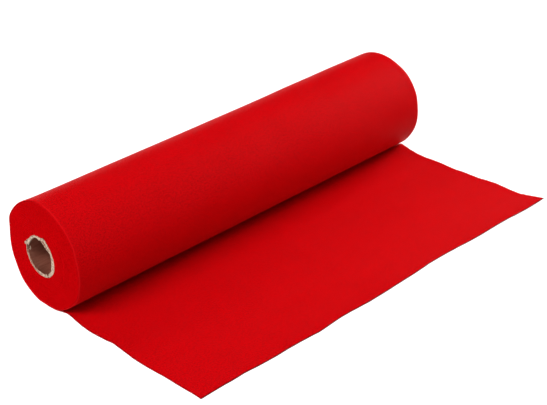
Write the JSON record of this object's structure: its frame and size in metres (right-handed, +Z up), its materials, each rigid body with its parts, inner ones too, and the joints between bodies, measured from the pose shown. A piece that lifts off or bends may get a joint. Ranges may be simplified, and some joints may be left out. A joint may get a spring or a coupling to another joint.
{
  "type": "roll of felt on a cardboard core",
  "caption": "Soft craft felt wound on a plain cardboard tube, lying on its side with its loose end run out flat in front.",
  "frame": {"origin": "on the surface that the roll rests on, under its axis, at the middle of its length", "axes": "+X along the roll, -Y the way the loose end runs out, +Z up"},
  "size_m": [0.4552, 0.266, 0.1044],
  "materials": {
    "felt": "matte needle-punched felt in bright red, with fine short fibres and a faint soft sheen",
    "cardboard": "plain spiral-wound paper board, brown inside, with pale cut ends"
  },
  "bodies": {
    "root": {"felt": "felt", "core_tube": "cardboard"}
  },
  "joints": []
}
